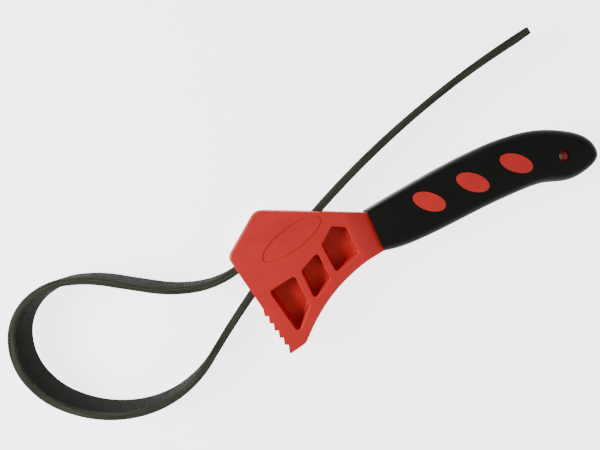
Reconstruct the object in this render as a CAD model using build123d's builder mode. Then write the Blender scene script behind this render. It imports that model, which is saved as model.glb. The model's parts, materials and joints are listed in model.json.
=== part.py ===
from build123d import *
import os
from math import cos, sin, radians

# Strap wrench lying flat. Origin on the hanging hole's axis at mid thickness, +Z up through the
# hole, +X along the handle towards its butt. Millimetres.

# ---- driving dimensions -------------------------------------------------------------------
head_thickness = 26.0
strap_width = 20.0
strap_thickness = 4.5
hinge_gap = 0.3           # clearance between one strap segment's round end and the next one's hollow

# The strap's run through the head lies on one large arc, which is also the path it is pulled along.
pull_centre = (92.0, -479.0)
pull_radius = 560.0
tail_tip_angle = 98.3     # polar angles round pull_centre, in degrees
slot_exit_angle = 110.0
slot_mouth_angle = 124.0
first_hinge_angle = 125.8
slot_side_gap = 0.5       # on each side of the strap's thickness
slot_edge_gap = 0.5       # over each edge of the strap's width

# The loop is a chain of equal segments. Each one bends by its own angle, left turns positive.
link_length = 25.1
link_turns = (-21, -23, -20, -19, -28, -37, -46, -38, -17, 1, 17)
anchor_turn = 26          # the fixed end's own bend, outside the head
anchor_shank = 14.0       # straight length from there to the bead
bead_radius = 4.5
bead_gap = 0.4
keyhole_length = 24.0     # from the bead's centre out through the head's left edge
pin_radius = 2.0

# Head outline: corners in order round the head, with the rounding radius of each.
head_edge_round = 1.8
top_corner = (-176.5, 44.5)
left_corner = (-201.6, 25.9)
nose_corner = (-196.5, -41.2)   # outside the finished edge, which the tooth cut leaves
nose_heel = (-180.2, -38.1)
belly_points = ((-170.4, -29.4), (-157.0, -20.1), (-140.1, -12.5), (-125.8, -8.8))
neck_low = (-116.0, -7.9)
neck_high = (-116.0, 15.8)
ridge_x = -129.3          # the flat faces end here and the neck slopes down to the grip
neck_middle = (-122.6, 11.4)
neck_half_thickness = 8.8

# The lower left edge is straight from the left corner to the first tooth's foot, then toothed.
tooth_count = 6
tooth_foot = (-194.9, -9.7)
first_tooth = (-195.8, -13.9)
tooth_step = (0.94, -4.92)
tooth_depth = (2.1, -1.0)  # from a tooth's tip to the root below it
nose_end = (-190.7, -42.0)  # where the cut leaves the nose

pocket_depth = 11.3
pocket_draft = 3.0
pocket_round = 1.8
pocket_floor_round = 0.8
pocket_rim_round = 0.6
pockets = (
    ((-187.4, -2.2), (-170.8, 0.2), (-169.2, -18.6), (-181.8, -30.8)),
    ((-165.9, 1.2), (-153.2, 7.3), (-152.3, -9.6), (-165.4, -17.0)),
    ((-149.1, 10.2), (-139.5, 17.6), (-131.8, 13.4), (-131.6, -2.6), (-147.8, -7.8)),
)

label_centre = (-163.4, 20.3)
label_half_length = 20.7
label_half_width = 7.0
label_tilt = 13.0
label_line = 0.8
label_depth = 0.4

# Handle
grip_half_thickness = 12.0
grip_crown_radius = 60.0  # the grip's faces are crowned across its width
grip_crown_y = 6.0
grip_edge_round = 5.5
grip_mouth_x = -117.2
core_half_thickness = 8.5
core_corners = (
    (-118.0, 14.0), (-118.0, -5.4), (-97.0, -7.4), (-60.0, -6.1), (-26.0, -5.6), (-13.0, -6.9), (-1.0, -10.9),
    (11.0, -10.4), (16.6, -5.5), (15.6, 2.2), (6.0, 10.2), (-8.0, 16.6), (-44.0, 20.5), (-88.0, 17.3),
)
core_corner_round = 2.5
oval_half_length = 9.9
oval_half_width = 5.2
oval_tilt = -41.0
oval_centres = ((-27.3, 7.5), (-54.7, 7.6), (-82.2, 7.7))
hanging_hole_radius = 2.8
grip_hole_radius = 3.3

half_head = head_thickness / 2
half_strap = strap_thickness / 2
os.makedirs("parts", exist_ok=True)


def on_pull_arc(angle, radius=pull_radius):
    """Point at a polar angle round the pull centre."""
    return (pull_centre[0] + radius * cos(radians(angle)), pull_centre[1] + radius * sin(radians(angle)))


def along(start, heading, distance):
    """Point at a distance from start in a heading given in degrees."""
    return (start[0] + distance * cos(radians(heading)), start[1] + distance * sin(radians(heading)))


def pull_band(from_angle, to_angle, half_width):
    """Face of a band of the pull arc between two polar angles."""
    span = to_angle - from_angle
    with BuildSketch() as band:
        with BuildLine():
            outer = CenterArc(pull_centre, pull_radius + half_width, from_angle, span)
            inner = CenterArc(pull_centre, pull_radius - half_width, from_angle, span)
            Line(outer @ 0, inner @ 0)
            Line(outer @ 1, inner @ 1)
        make_face()
    return band.sketch


def bent_band(start, heading, turn):
    """Face of one strap segment: a tangent arc of link_length that turns by turn degrees."""
    bend_radius = link_length / abs(radians(turn))
    side = 1 if turn > 0 else -1
    tangent = (cos(radians(heading)), sin(radians(heading)))
    with BuildSketch() as band:
        with BuildLine():
            near_start = along(start, heading + 90 * side, half_strap)
            far_start = along(start, heading - 90 * side, half_strap)
            near = JernArc(near_start, tangent, bend_radius - half_strap, turn)
            far = JernArc(far_start, tangent, bend_radius + half_strap, turn)
            Line(near @ 0, far @ 0)
            Line(near @ 1, far @ 1)
        make_face()
    return band.sketch


def segment_end(start, heading, turn):
    """Where a segment's centre line ends, and its heading there."""
    chord = 2 * link_length / radians(turn) * sin(radians(turn) / 2)
    return along(start, heading + turn / 2, chord), heading + turn


# ---- where the loop's hinges are ----------------------------------------------------------
hinges = [on_pull_arc(first_hinge_angle)]
headings = [first_hinge_angle + 90]
for turn in link_turns:
    point, heading = segment_end(hinges[-1], headings[-1], turn)
    hinges.append(point)
    headings.append(heading)
mouth_point, mouth_heading = segment_end(hinges[-1], headings[-1], anchor_turn)
bead_centre = along(mouth_point, mouth_heading, anchor_shank)


# ---- strap --------------------------------------------------------------------------------
with BuildPart() as strap_tail:
    with BuildSketch():
        add(pull_band(tail_tip_angle, first_hinge_angle, half_strap))
        with Locations(hinges[0]):
            Circle(half_strap + hinge_gap, mode=Mode.SUBTRACT)
    extrude(amount=strap_width / 2, both=True)
strap_tail.part.label = "strap_tail"
export_step(strap_tail.part, "parts/strap_tail.step")

for number, turn in enumerate(link_turns, start=1):
    name = f"strap_link_{number:02d}"
    band = bent_band(hinges[number - 1], headings[number - 1], turn)
    with BuildPart() as strap_link:
        with BuildSketch():
            add(band)
            with Locations(hinges[number - 1]):
                Circle(half_strap)
            with Locations(hinges[number]):
                Circle(half_strap + hinge_gap, mode=Mode.SUBTRACT)
        extrude(amount=strap_width / 2, both=True)
    strap_link.part.label = name
    export_step(strap_link.part, f"parts/{name}.step")

anchor_band = bent_band(hinges[-1], headings[-1], anchor_turn)
shank_middle = along(mouth_point, mouth_heading, anchor_shank / 2)
with BuildPart() as strap_anchor:
    with BuildSketch():
        add(anchor_band)
        with Locations(hinges[-1]):
            Circle(half_strap)
        with Locations(Location((*shank_middle, 0), (0, 0, mouth_heading))):
            Rectangle(anchor_shank, strap_thickness)
        with Locations(bead_centre):
            Circle(bead_radius)
            Circle(pin_radius, mode=Mode.SUBTRACT)
    extrude(amount=strap_width / 2, both=True)
strap_anchor.part.label = "strap_anchor"
export_step(strap_anchor.part, "parts/strap_anchor.step")

with BuildPart() as anchor_pin:
    with BuildSketch():
        with Locations(bead_centre):
            Circle(pin_radius)
    extrude(amount=strap_width / 2, both=True)
anchor_pin.part.label = "anchor_pin"
export_step(anchor_pin.part, "parts/anchor_pin.step")


# ---- handle outline and the crowned blank that the grip and the oval bosses are cut from ---
with BuildSketch() as handle_outline:
    with BuildLine():
        rim = Spline(
            (grip_mouth_x, 17.4), (-88.0, 20.8), (-44.0, 24.1), (-7.0, 20.2), (9.3, 12.2), (19.6, 1.5),
            (20.4, -8.0), (10.6, -13.8), (-2.0, -14.3), (-14.0, -10.4), (-28.0, -8.8), (-60.0, -9.4),
            (-97.0, -10.9), (grip_mouth_x, -8.4),
            tangents=((1, 0.12), (-1, 0.3)),
        )
        Line(rim @ 1, rim @ 0)
    make_face()

with BuildPart() as handle_blank:
    add(extrude(handle_outline.sketch, amount=2 * grip_half_thickness, both=True))
    for facing in (1, -1):
        with BuildSketch(Plane.YZ.offset(grip_mouth_x - 1)):
            with Locations((grip_crown_y, facing * (grip_half_thickness - grip_crown_radius))):
                Circle(grip_crown_radius)
        extrude(amount=2 * abs(grip_mouth_x), mode=Mode.INTERSECT)
    long_rims = edges().filter_by(lambda edge: abs(edge.center().Z) > half_strap)
    fillet(long_rims.sort_by(Edge.length)[-2:], grip_edge_round)


with BuildPart() as oval_bosses:
    with BuildSketch():
        for centre in oval_centres:
            with Locations(Location((*centre, 0), (0, 0, oval_tilt))):
                Ellipse(oval_half_length, oval_half_width)
    extrude(amount=grip_half_thickness, both=True)
    add(handle_blank.part, mode=Mode.INTERSECT)


# ---- head and handle core, one moulding ---------------------------------------------------
with BuildPart() as pocket_cut:
    for corners in pockets:
        with BuildSketch(Plane.XY.offset(half_head)):
            with BuildLine():
                Polyline(*corners, close=True)
            make_face()
            fillet(vertices(), pocket_round)
        extrude(amount=-pocket_depth, taper=pocket_draft)
    fillet(faces().filter_by(Axis.Z).group_by(Axis.Z)[0].edges(), pocket_floor_round)
    mirror(about=Plane.XY)

with BuildPart() as head_core:
    with BuildSketch():
        with BuildLine():
            belly = Spline(nose_heel, *belly_points, neck_low)
            Polyline(belly @ 1, neck_high, top_corner, left_corner, nose_corner, belly @ 0)
        make_face()
        fillet(vertices().sort_by_distance(top_corner)[0], 7)
        fillet(vertices().sort_by_distance(left_corner)[0], 6)
        fillet(vertices().sort_by_distance(nose_heel)[0], 6)
    extrude(amount=half_head, both=True)
    rims = faces().filter_by(Axis.Z).edges().filter_by(lambda edge: edge.center().X < neck_low[0] - 0.1)
    fillet(rims, head_edge_round)

    # the neck slopes in towards the grip on both faces
    with BuildSketch(Plane.XZ):
        with BuildLine():
            slope = ThreePointArc((ridge_x, half_head), neck_middle, (neck_low[0], neck_half_thickness))
            Polyline(slope @ 1, (neck_low[0], half_head + 1), slope @ 0)
        make_face()
        mirror(about=Plane.XY)
    extrude(amount=2 * top_corner[1], both=True, mode=Mode.SUBTRACT)

    # crisp lower left edge, with its saw teeth
    teeth = []
    for number in range(tooth_count):
        tip = (first_tooth[0] + number * tooth_step[0], first_tooth[1] + number * tooth_step[1])
        teeth += [tip, (tip[0] + tooth_depth[0], tip[1] + tooth_depth[1])]
    with BuildSketch():
        with BuildLine():
            beyond = (nose_corner[0] - 5, nose_end[1]), (left_corner[0] - 5, left_corner[1])
            Polyline(left_corner, tooth_foot, *teeth[:-1], nose_end, *beyond, close=True)
        make_face()
    extrude(amount=half_head, both=True, mode=Mode.SUBTRACT)

    # pockets from both faces, which leave a web across the middle
    add(pocket_cut.part, mode=Mode.SUBTRACT)
    for facing in (1, -1):
        face = faces().filter_by(Axis.Z).sort_by(Axis.Z)[-1 if facing > 0 else 0]
        for wire in face.inner_wires():
            fillet(wire.edges(), pocket_rim_round)

    # oval line round the blank label
    with BuildSketch(Plane.XY.offset(half_head)):
        with Locations(Location((*label_centre, 0), (0, 0, label_tilt))):
            Ellipse(label_half_length, label_half_width)
            Ellipse(label_half_length - label_line, label_half_width - label_line, mode=Mode.SUBTRACT)
    extrude(amount=-label_depth, mode=Mode.SUBTRACT)

    # slot for the running strap, and keyhole for the fixed end, open at the back
    with BuildSketch():
        add(pull_band(slot_exit_angle, slot_mouth_angle, half_strap + slot_side_gap))
    extrude(amount=strap_width / 2 + slot_edge_gap, both=True, mode=Mode.SUBTRACT)
    with BuildSketch(Plane.XY.offset(strap_width / 2 + slot_edge_gap)):
        keyhole_middle = along(bead_centre, mouth_heading, -keyhole_length / 2)
        with Locations(Location((*keyhole_middle, 0), (0, 0, mouth_heading))):
            Rectangle(keyhole_length, strap_thickness + 2 * bead_gap)
        with Locations(bead_centre):
            Circle(bead_radius + bead_gap)
    extrude(amount=-2 * half_head, mode=Mode.SUBTRACT)

    # core inside the grip, its oval bosses and the hanging hole
    with BuildSketch():
        with BuildLine():
            Polyline(*core_corners, close=True)
        make_face()
        fillet(vertices().filter_by(lambda corner: corner.X > core_corners[0][0] + 1), core_corner_round)
    extrude(amount=core_half_thickness, both=True)
    add(oval_bosses.part)
    Hole(hanging_hole_radius)
head_core.part.label = "head_core"
export_step(head_core.part, "parts/head_core.step")


# ---- grip, moulded over the core ----------------------------------------------------------
with BuildPart() as grip:
    add(handle_blank.part)
    Hole(grip_hole_radius)
    add(head_core.part, mode=Mode.SUBTRACT)
grip.part.label = "grip"
export_step(grip.part, "parts/grip.step")
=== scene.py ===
import json
import math
import bmesh
import bpy
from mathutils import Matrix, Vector


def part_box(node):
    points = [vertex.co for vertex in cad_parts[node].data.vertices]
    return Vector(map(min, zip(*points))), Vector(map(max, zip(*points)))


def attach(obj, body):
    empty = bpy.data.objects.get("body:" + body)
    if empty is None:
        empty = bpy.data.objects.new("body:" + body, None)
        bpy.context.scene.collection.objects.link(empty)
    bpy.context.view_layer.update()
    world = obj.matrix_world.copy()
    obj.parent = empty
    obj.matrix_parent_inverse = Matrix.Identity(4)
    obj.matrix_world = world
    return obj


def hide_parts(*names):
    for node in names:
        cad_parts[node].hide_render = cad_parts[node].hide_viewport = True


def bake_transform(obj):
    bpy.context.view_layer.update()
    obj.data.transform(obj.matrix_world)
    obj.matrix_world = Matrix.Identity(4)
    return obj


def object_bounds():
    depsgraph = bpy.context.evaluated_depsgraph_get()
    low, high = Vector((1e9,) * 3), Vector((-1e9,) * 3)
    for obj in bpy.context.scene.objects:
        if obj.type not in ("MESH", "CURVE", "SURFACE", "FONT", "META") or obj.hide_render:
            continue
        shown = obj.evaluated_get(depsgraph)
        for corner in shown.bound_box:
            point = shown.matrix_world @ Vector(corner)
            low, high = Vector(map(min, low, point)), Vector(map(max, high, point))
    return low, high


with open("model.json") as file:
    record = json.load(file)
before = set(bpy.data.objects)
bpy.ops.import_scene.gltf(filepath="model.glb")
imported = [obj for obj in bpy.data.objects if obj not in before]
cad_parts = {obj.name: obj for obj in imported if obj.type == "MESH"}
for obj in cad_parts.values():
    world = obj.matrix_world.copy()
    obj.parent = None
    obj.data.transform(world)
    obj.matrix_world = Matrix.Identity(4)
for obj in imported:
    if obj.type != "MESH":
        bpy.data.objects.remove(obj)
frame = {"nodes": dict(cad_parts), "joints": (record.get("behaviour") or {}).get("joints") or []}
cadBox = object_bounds()
joints = {joint["name"]: joint for joint in frame["joints"]}


# shader helpers

class Wire:
    # one output of a node; arithmetic on it adds Math nodes
    def __init__(self, maker, socket):
        self.maker = maker
        self.socket = socket

    def math(self, operation, other=0.0, swap=False):
        first, second = (other, self) if swap else (self, other)
        return self.maker.add("ShaderNodeMath", {"operation": operation}, {0: first, 1: second})

    def __add__(self, other):
        return self.math("ADD", other)

    __radd__ = __add__

    def __sub__(self, other):
        return self.math("SUBTRACT", other)

    def __rsub__(self, other):
        return self.math("SUBTRACT", other, swap=True)

    def __mul__(self, other):
        return self.math("MULTIPLY", other)

    __rmul__ = __mul__


class Maker:
    # adds nodes to one material
    def __init__(self, name):
        self.material = bpy.data.materials.new(name)
        self.material.use_nodes = True
        self.tree = self.material.node_tree
        self.tree.nodes.clear()

    def add(self, kind, settings=None, inputs=None, output=0):
        node = self.tree.nodes.new(kind)
        for key, value in (settings or {}).items():
            setattr(node, key, value)
        for key, value in (inputs or {}).items():
            if isinstance(value, Wire):
                self.tree.links.new(value.socket, node.inputs[key])
            else:
                node.inputs[key].default_value = value
        return Wire(self, node.outputs[output] if node.outputs else None)

    def objectPlace(self):
        return self.add("ShaderNodeTexCoord", output="Object")

    def mapped(self, vector, scale):
        return self.add("ShaderNodeMapping", None, {"Vector": vector, "Scale": scale})

    def noise(self, vector, scale, detail=3.0, roughness=0.55):
        inputs = {"Vector": vector, "Scale": scale, "Detail": detail, "Roughness": roughness}
        return self.add("ShaderNodeTexNoise", None, inputs)

    def cells(self, vector, scale):
        return self.add("ShaderNodeTexVoronoi", {"feature": "F1"}, {"Vector": vector, "Scale": scale})

    def spread(self, value, band):
        # stretches the band to 0..1
        inputs = {"Value": value, "From Min": band[0], "From Max": band[1]}
        return self.add("ShaderNodeMapRange", {"clamp": True}, inputs)

    def blendColour(self, share, first, second):
        return self.add("ShaderNodeMix", {"data_type": "RGBA"}, {0: share, 6: first, 7: second}, output=2)

    def parts(self, vector):
        split = self.tree.nodes.new("ShaderNodeSeparateXYZ")
        self.tree.links.new(vector.socket, split.inputs[0])
        return [Wire(self, output) for output in split.outputs]

    def bump(self, height, distance, under=None, strength=1.0):
        inputs = {"Height": height, "Distance": distance, "Strength": strength}
        if under is not None:
            inputs["Normal"] = under
        return self.add("ShaderNodeBump", None, inputs)

    def finish(self, inputs):
        shader = self.add("ShaderNodeBsdfPrincipled", None, inputs)
        self.add("ShaderNodeOutputMaterial", None, {"Surface": shader})
        return self.material


# glass-filled nylon: a satin spark-eroded skin with faint flow marks and scuffs
nylonLook = {
    "red": (0.64, 0.022, 0.018, 1), "deepRed": (0.56, 0.016, 0.013, 1), "paleRed": (0.72, 0.07, 0.055, 1),
    "grainScale": 2600.0, "grainHeight": 0.00002,
    "flowScale": 42.0, "flowStretch": (1.0, 3.2, 1.0), "flowHeight": 0.00006, "flowShare": 0.4,
    "cloudScale": 30.0, "cloudShare": 0.6, "shadeBand": (0.38, 0.62),
    "scuffScale": 60.0, "scuffStretch": (1.0, 5.0, 1.0), "scuffBand": (0.62, 0.74), "scuffShare": 0.12,
    "roughness": 0.45, "roughSpread": 0.2, "scuffRough": 0.08, "specular": 0.4,
}


def nylonMaterial(look):
    make = Maker("redNylon")
    place = make.objectPlace()
    grain = make.noise(place, look["grainScale"], detail=4.0, roughness=0.6)
    flow = make.noise(make.mapped(place, look["flowStretch"]), look["flowScale"], detail=2.0, roughness=0.5)
    cloud = make.noise(place, look["cloudScale"], detail=3.0, roughness=0.5)
    streaks = make.noise(make.mapped(place, look["scuffStretch"]), look["scuffScale"], detail=6.0, roughness=0.7)
    scuffs = make.spread(streaks, look["scuffBand"])
    shade = make.spread(cloud * look["cloudShare"] + flow * look["flowShare"], look["shadeBand"])
    colour = make.blendColour(shade, look["deepRed"], look["red"])
    colour = make.blendColour(scuffs * look["scuffShare"], colour, look["paleRed"])
    rough = look["roughness"] + (grain - 0.5) * look["roughSpread"] + scuffs * look["scuffRough"]
    skin = make.bump(grain, look["grainHeight"])
    skin = make.bump(flow, look["flowHeight"], skin)
    return make.finish({"Base Color": colour, "Roughness": rough, "Normal": skin,
                        "Specular IOR Level": look["specular"]})


# soft-touch overmoulding: fine leathery grain, dusty high spots
gripLook = {
    "black": (0.0045, 0.0047, 0.0036, 1), "dusty": (0.011, 0.0115, 0.0095, 1),
    "dustScale": 70.0, "dustBand": (0.5, 0.75), "dustShare": 0.5, "dustRough": 0.12,
    "pebbleScale": 1500.0, "pebbleHeight": 0.00005, "grainScale": 900.0, "grainShare": 0.35,
    "roughness": 0.62, "specular": 0.18,
}


def gripMaterial(look):
    make = Maker("softGrip")
    place = make.objectPlace()
    pebbles = make.cells(place, look["pebbleScale"])
    grain = make.noise(place, look["grainScale"], detail=3.0, roughness=0.6)
    dust = make.spread(make.noise(place, look["dustScale"], detail=5.0, roughness=0.65), look["dustBand"])
    colour = make.blendColour(dust * look["dustShare"], look["black"], look["dusty"])
    rough = look["roughness"] + dust * look["dustRough"]
    skin = make.bump(pebbles * -1.0 + grain * look["grainShare"], look["pebbleHeight"])
    return make.finish({"Base Color": colour, "Roughness": rough, "Normal": skin,
                        "Specular IOR Level": look["specular"]})


# calendered rubber: lengthwise lines, a faint cloth print on the broad faces; the cut edges painted paler with
# lengthwise streaks, a painted highlight for the light the upward edge catches
strapLook = {
    "black": (0.005, 0.0052, 0.004, 1), "grey": (0.011, 0.0115, 0.009, 1),
    # the two edge colours are a painted highlight, paler than the faces for the light the edges catch
    "edgeHighlightGrey": (0.017, 0.018, 0.014, 1), "edgeHighlightPale": (0.07, 0.072, 0.052, 1),
    "scuffGrey": (0.09, 0.09, 0.075, 1), "edgeHighlightBand": (0.0086, 0.0098),
    "lineScale": 1.0, "lineStretch": (40.0, 2600.0, 1.0), "lineBand": (0.35, 0.65), "lineHeight": 0.00005,
    "weaveStretch": (620.0, 620.0, 1.0), "weaveHeight": 0.00006,
    "weaveGap": 0.12, "weaveSoftness": 0.9, "weaveLow": (0.8, 0.8, 0.8, 1),
    "cloudScale": 60.0, "bloomBand": (0.42, 0.7), "bloomShare": 0.6, "bloomRough": 0.1,
    "scuffScale": 1.0, "scuffStretch": (60.0, 400.0, 1.0), "scuffBand": (0.6, 0.72), "scuffShare": 0.1,
    "roughness": 0.7, "specular": 0.03,
}


def strapMaterial(look):
    make = Maker("strapRubber")
    unrolled = make.add("ShaderNodeUVMap", {"uv_map": "strapRun"})
    place = make.objectPlace()
    height = make.parts(place)[2]
    # painted highlight: the top and bottom edges, found by height, are blended towards the paler edge colours
    edgeHighlightShare = make.spread(height.math("ABSOLUTE"), look["edgeHighlightBand"])
    lines = make.noise(make.mapped(unrolled, look["lineStretch"]), look["lineScale"], detail=4.0, roughness=0.6)
    weave = make.add("ShaderNodeTexBrick", {"offset": 0.5}, {
        "Vector": make.mapped(unrolled, look["weaveStretch"]), "Scale": 1.0,
        "Mortar Size": look["weaveGap"], "Mortar Smooth": look["weaveSoftness"],
        "Color1": (1, 1, 1, 1), "Color2": look["weaveLow"], "Mortar": (0, 0, 0, 1),
    })
    bloom = make.spread(make.noise(place, look["cloudScale"], detail=5.0, roughness=0.65), look["bloomBand"])
    stretched = make.mapped(unrolled, look["scuffStretch"])
    scuffs = make.spread(make.noise(stretched, look["scuffScale"], detail=5.0, roughness=0.7), look["scuffBand"])
    face = make.blendColour(bloom * look["bloomShare"], look["black"], look["grey"])
    # painted highlight on the edges, streaked lengthwise between the two edge colours
    highlitEdge = make.blendColour(make.spread(lines, look["lineBand"]), look["edgeHighlightGrey"], look["edgeHighlightPale"])
    colour = make.blendColour(edgeHighlightShare, face, highlitEdge)
    colour = make.blendColour(scuffs * look["scuffShare"], colour, look["scuffGrey"])
    rough = look["roughness"] + bloom * look["bloomRough"]
    skin = make.bump(lines, look["lineHeight"])
    skin = make.bump((1.0 - edgeHighlightShare) * weave, look["weaveHeight"], skin)
    return make.finish({"Base Color": colour, "Roughness": rough, "Normal": skin,
                        "Specular IOR Level": look["specular"]})


# drawn steel, with fine lines along the pin
steelLook = {
    "dark": (0.42, 0.42, 0.43, 1), "bright": (0.62, 0.62, 0.63, 1),
    "drawScale": 200.0, "drawStretch": (8.0, 8.0, 0.4), "drawHeight": 0.00001,
    "roughness": 0.3, "drawRough": 0.15,
}


def steelMaterial(look):
    make = Maker("pinSteel")
    stretched = make.mapped(make.objectPlace(), look["drawStretch"])
    drawn = make.noise(stretched, look["drawScale"], detail=3.0, roughness=0.6)
    colour = make.blendColour(drawn, look["dark"], look["bright"])
    rough = look["roughness"] + drawn * look["drawRough"]
    return make.finish({"Base Color": colour, "Metallic": 1.0, "Roughness": rough,
                        "Normal": make.bump(drawn, look["drawHeight"])})


redNylon = nylonMaterial(nylonLook)
softGrip = gripMaterial(gripLook)
strapRubber = strapMaterial(strapLook)
pinSteel = steelMaterial(steelLook)
print("materials made")


# moulded pieces, from the frame's own shapes

moulding = {"weld": 0.000002}


def smoothCopy(node, name, material, body):
    # the frame's loose triangles, merged, with the normals of the surfaces they came from
    mesh = frame["nodes"][node].data.copy()
    mesh.name = name
    piece = bpy.data.objects.new(name, mesh)
    bpy.context.scene.collection.objects.link(piece)
    normals = [corner.vector.copy() for corner in mesh.corner_normals]
    work = bmesh.new()
    work.from_mesh(mesh)
    corner = 0
    kept = {}
    number = work.faces.layers.int.new("firstCorner")
    for face in work.faces:
        face.smooth = True
        face[number] = corner
        places = [loop.vert.co.copy() for loop in face.loops]
        kept[corner] = list(zip(places, normals[corner:corner + len(places)]))
        corner += len(face.loops)
    bmesh.ops.remove_doubles(work, verts=work.verts, dist=moulding["weld"])
    merged = []
    for face in work.faces:
        for loop in face.loops:
            old = min(kept[face[number]], key=lambda pair: (pair[0] - loop.vert.co).length_squared)
            merged.append(old[1])
    work.faces.layers.int.remove(number)
    work.to_mesh(mesh)
    work.free()
    mesh.normals_split_custom_set(merged)
    mesh.materials.clear()
    mesh.materials.append(material)
    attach(piece, body)
    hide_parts(node)


smoothCopy("head_core", "headMoulding", redNylon, "wrench")
smoothCopy("grip", "gripOvermould", softGrip, "wrench")
smoothCopy("anchor_pin", "anchorPin", pinSteel, "fixed_end")
print("mouldings made")


# strap: one continuous band, in pieces that meet at the middles of the frame's links

strap = {
    "width": 0.020, "thickness": 0.0045, "cornerRadius": 0.0009, "cornerSteps": 4, "ringSpacing": 0.001,
    "sharpAngle": 50.0, "anchorTurn": 26.0, "shank": 0.014,
}


def strapTree(material):
    # sweeps a rounded section along a curve and keeps the run along it and round it as UVs
    tree = bpy.data.node_groups.new("strapSweep", "GeometryNodeTree")
    tree.interface.new_socket("Geometry", in_out="INPUT", socket_type="NodeSocketGeometry")
    for label in ("Width", "Thickness", "Corner Radius", "Run Start"):
        tree.interface.new_socket(label, in_out="INPUT", socket_type="NodeSocketFloat")
    tree.interface.new_socket("Corner Steps", in_out="INPUT", socket_type="NodeSocketInt")
    tree.interface.new_socket("Geometry", in_out="OUTPUT", socket_type="NodeSocketGeometry")

    def add(kind, **settings):
        node = tree.nodes.new(kind)
        for key, value in settings.items():
            setattr(node, key, value)
        return node

    def join(source, target):
        tree.links.new(source, target)

    given = add("NodeGroupInput")
    upright = add("GeometryNodeSetCurveNormal", mode="Z_UP")
    join(given.outputs["Geometry"], upright.inputs["Curve"])

    def kept(curve):
        # the curve with its length at each point captured
        along = add("GeometryNodeSplineParameter")
        capture = add("GeometryNodeCaptureAttribute", domain="POINT")
        capture.capture_items.new("FLOAT", "run")
        join(curve, capture.inputs["Geometry"])
        join(along.outputs["Length"], capture.inputs["run"])
        return capture

    route = kept(upright.outputs["Curve"])
    section = add("GeometryNodeCurvePrimitiveQuadrilateral", mode="RECTANGLE")
    join(given.outputs["Thickness"], section.inputs["Width"])
    join(given.outputs["Width"], section.inputs["Height"])
    rounded = add("GeometryNodeFilletCurve", mode="POLY")
    join(section.outputs["Curve"], rounded.inputs["Curve"])
    join(given.outputs["Corner Steps"], rounded.inputs["Count"])
    join(given.outputs["Corner Radius"], rounded.inputs["Radius"])
    rim = kept(rounded.outputs["Curve"])
    sweep = add("GeometryNodeCurveToMesh")
    sweep.inputs["Fill Caps"].default_value = True
    join(route.outputs["Geometry"], sweep.inputs["Curve"])
    join(rim.outputs["Geometry"], sweep.inputs["Profile Curve"])
    start = add("ShaderNodeMath", operation="ADD")
    join(route.outputs["run"], start.inputs[0])
    join(given.outputs["Run Start"], start.inputs[1])
    pair = add("ShaderNodeCombineXYZ")
    join(start.outputs[0], pair.inputs["X"])
    join(rim.outputs["run"], pair.inputs["Y"])
    store = add("GeometryNodeStoreNamedAttribute", data_type="FLOAT2", domain="CORNER")
    store.inputs["Name"].default_value = "strapRun"
    join(sweep.outputs["Mesh"], store.inputs["Geometry"])
    join(pair.outputs["Vector"], store.inputs["Value"])
    real = add("GeometryNodeRealizeInstances")
    join(store.outputs["Geometry"], real.inputs["Geometry"])
    painted = add("GeometryNodeSetMaterial")
    painted.inputs["Material"].default_value = material
    join(real.outputs["Geometry"], painted.inputs["Geometry"])
    result = add("NodeGroupOutput")
    join(painted.outputs["Geometry"], result.inputs["Geometry"])
    return tree


def sweepStrap(name, points, runStart, tree):
    curve = bpy.data.curves.new(name + "Route", "CURVE")
    curve.dimensions = "3D"
    spline = curve.splines.new("POLY")
    spline.points.add(len(points) - 1)
    for target, point in zip(spline.points, points):
        target.co = (point.x, point.y, 0.0, 1.0)
    route = bpy.data.objects.new(name + "Route", curve)
    bpy.context.scene.collection.objects.link(route)
    sweeper = route.modifiers.new("sweep", "NODES")
    sweeper.node_group = tree
    values = {"Width": strap["width"], "Thickness": strap["thickness"], "Run Start": runStart,
              "Corner Radius": strap["cornerRadius"], "Corner Steps": strap["cornerSteps"]}
    for socket in tree.interface.items_tree:
        if socket.in_out == "INPUT" and socket.name in values:
            sweeper[socket.identifier] = values[socket.name]
    graph = bpy.context.evaluated_depsgraph_get()
    mesh = bpy.data.meshes.new_from_object(route.evaluated_get(graph))
    mesh.name = name
    piece = bpy.data.objects.new(name, mesh)
    bpy.context.scene.collection.objects.link(piece)
    bpy.data.objects.remove(route)
    for face in mesh.polygons:
        face.use_smooth = True
    mesh.set_sharp_from_angle(angle=math.radians(strap["sharpAngle"]))
    return piece


class Route:
    # walks along tangent arcs in the strap's plane and keeps where it has been
    def __init__(self, place, heading):
        self.place = place
        self.heading = heading
        self.points = [place.copy()]

    def arc(self, length, turn):
        steps = max(2, round(length / strap["ringSpacing"]))
        for number in range(steps):
            middle = self.heading + turn / steps / 2
            chord = length / steps
            if turn:
                chord = 2 * length / turn * math.sin(turn / steps / 2)
            self.place = self.place + chord * Vector((math.cos(middle), math.sin(middle)))
            self.heading += turn / steps
            self.points.append(self.place.copy())


def flat(place):
    return Vector((place[0], place[1]))


def wrapped(angle):
    return math.remainder(angle, 2 * math.pi)


pullCentre = flat(joints["strap_pull"]["pos_m"])
hingeNames = sorted(name for name in joints if name.startswith("strap_bend_"))
hinges = [flat(joints[name]["pos_m"]) for name in hingeNames]
pullRadius = (hinges[0] - pullCentre).length
hingeAngle = math.atan2(hinges[0].y - pullCentre.y, hinges[0].x - pullCentre.x)
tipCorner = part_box("strap_tail")[1]
tipAngle = math.acos((tipCorner.x - pullCentre.x) / (pullRadius + strap["thickness"] / 2))

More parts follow.
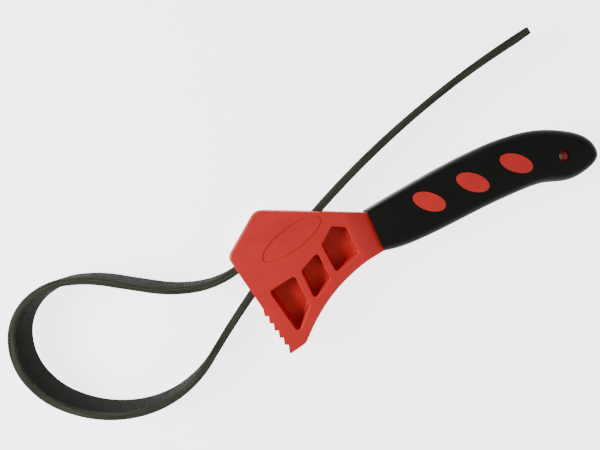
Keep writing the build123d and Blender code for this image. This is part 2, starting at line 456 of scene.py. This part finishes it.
# each link's arc, from the chord between its hinges and the heading it starts with
heading = hingeAngle + math.pi / 2
linkArcs = []
for near, far in zip(hinges, hinges[1:]):
    chord = far - near
    turn = 2 * wrapped(math.atan2(chord.y, chord.x) - heading)
    half = turn / 2
    linkArcs.append((chord.length * half / math.sin(half), turn))
    heading += turn
linkLength = sum(length for length, turn in linkArcs) / len(linkArcs)
linkArcs.append((linkLength, math.radians(strap["anchorTurn"])))

sweepTree = strapTree(strapRubber)
tailHeading = tipAngle + math.pi / 2
tipPlace = pullCentre + pullRadius * Vector((math.cos(tipAngle), math.sin(tipAngle)))
halfLink = linkLength / 2
anchorHalfTurn = linkArcs[-1][1] / 2
runDone = 0.0

route = Route(tipPlace, tailHeading)
tailLength = pullRadius * (hingeAngle - tipAngle) - halfLink
route.arc(tailLength, tailLength / pullRadius)
tail = sweepStrap("strapTail", route.points, runDone, sweepTree)
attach(tail, "strap_run")
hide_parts("strap_tail")
runDone += tailLength

for number, name in enumerate(hingeNames):
    route = Route(route.place, route.heading)
    beforeTurn = halfLink / pullRadius if number == 0 else linkArcs[number - 1][1] / 2
    route.arc(halfLink, beforeTurn)
    afterLength, afterTurn = linkArcs[number]
    route.arc(afterLength / 2, afterTurn / 2)
    bend = sweepStrap(f"strapBend{number + 1:02d}", route.points, runDone, sweepTree)
    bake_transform(bend)
    if number < len(hingeNames) - 1:
        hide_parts(f"strap_link_{number + 1:02d}")
    runDone += halfLink + afterLength / 2

# fixed end: the rest of its bend and the straight shank, as far as the pin; its bead is not made
route = Route(route.place, route.heading)
route.arc(halfLink, anchorHalfTurn)
route.arc(strap["shank"], 0.0)
anchor = sweepStrap("strapFixedEnd", route.points, runDone, sweepTree)
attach(anchor, "fixed_end")
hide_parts("strap_anchor")
print("strap made, run of", round((runDone + halfLink + strap["shank"]) * 1000), "mm")


# floor, light and camera

studio = {
    "floorSize": 6.0, "floorColour": (0.93, 0.93, 0.93, 1), "floorGlow": 3.6, "floorRoughness": 0.9,
    "paperScale": 40.0, "paperHeight": 0.00002, "paperStrength": 0.4,
    "keyPlace": (-0.74, 0.258, 0.47), "keySize": 0.4, "keyWatts": 8.0,
    "fillPlace": (0.5, -0.6, 1.1), "fillSize": 1.2, "fillWatts": 2.5, "skyStrength": 0.32,
}
camera = {
    "above": (-0.15074, 0.03734), "height": 0.290, "roll": -24.0,
    "lens": 28.92, "sensor": 36.0, "shiftY": -0.0367, "clipStart": 0.01,
}


def floorMaterial(look):
    make = Maker("studioFloor")
    paper = make.noise(make.objectPlace(), look["paperScale"], detail=3.0, roughness=0.6)
    skin = make.bump(paper, look["paperHeight"], strength=look["paperStrength"])
    return make.finish({"Base Color": look["floorColour"], "Roughness": look["floorRoughness"],
                        "Specular IOR Level": 0.0, "Emission Color": look["floorColour"],
                        "Emission Strength": look["floorGlow"], "Normal": skin})


def areaLight(name, place, size, watts, target):
    light = bpy.data.lights.new(name, "AREA")
    light.shape = "DISK"
    light.size = size
    light.energy = watts
    lamp = bpy.data.objects.new(name, light)
    bpy.context.scene.collection.objects.link(lamp)
    lamp.location = place
    lamp.rotation_euler = (target - Vector(place)).to_track_quat("-Z", "Y").to_euler()


floorMesh = bpy.data.meshes.new("studioFloor")
reach = studio["floorSize"] / 2
ground = cadBox[0].z
corners = [(-reach, -reach, ground), (reach, -reach, ground), (reach, reach, ground), (-reach, reach, ground)]
floorMesh.from_pydata(corners, [], [(0, 1, 2, 3)])
floorMesh.materials.append(floorMaterial(studio))
floor = bpy.data.objects.new("studioFloor", floorMesh)
bpy.context.scene.collection.objects.link(floor)

middle = (cadBox[0] + cadBox[1]) / 2
areaLight("keyLight", studio["keyPlace"], studio["keySize"], studio["keyWatts"], middle)
areaLight("fillLight", studio["fillPlace"], studio["fillSize"], studio["fillWatts"], middle)
world = bpy.data.worlds.new("studioSky")
world.use_nodes = True
sky = world.node_tree.nodes["Background"]
sky.inputs["Color"].default_value = (1, 1, 1, 1)
sky.inputs["Strength"].default_value = studio["skyStrength"]
bpy.context.scene.world = world

cameraData = bpy.data.cameras.new("mainCamera")
cameraData.lens = camera["lens"]
cameraData.sensor_width = camera["sensor"]
cameraData.shift_y = camera["shiftY"]
cameraData.clip_start = camera["clipStart"]
mainCamera = bpy.data.objects.new("mainCamera", cameraData)
bpy.context.scene.collection.objects.link(mainCamera)
mainCamera.location = (*camera["above"], camera["height"])
mainCamera.rotation_euler = (0, 0, math.radians(camera["roll"]))
bpy.context.scene.camera = mainCamera
print("studio made")
